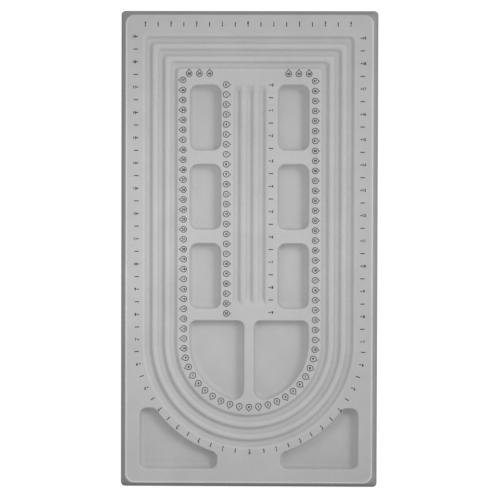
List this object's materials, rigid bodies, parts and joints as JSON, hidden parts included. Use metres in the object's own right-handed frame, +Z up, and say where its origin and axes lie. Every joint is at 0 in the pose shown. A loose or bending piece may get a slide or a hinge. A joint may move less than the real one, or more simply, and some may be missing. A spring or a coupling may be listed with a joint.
{
  "type": "bead board",
  "caption": "Flat flocked tray for laying out jewellery: nested U-shaped bead channels with printed scales, straight grooves up the middle and open trays between and below them",
  "frame": {"origin": "middle of the board's footprint, on the table it lies on", "axes": "+X to the board's right, +Y up the board from the channels' round end to their square end, +Z up out of the trays"},
  "size_m": [0.26, 0.4822, 0.013],
  "materials": {
    "sheet_plastic": "thin grey formed plastic sheet, satin underneath",
    "grey_flock": "short grey electrostatic flock, matt, with black printed scales"
  },
  "bodies": {
    "root": {"formed_shell": "sheet_plastic", "flock_coat": "grey_flock"}
  },
  "joints": []
}
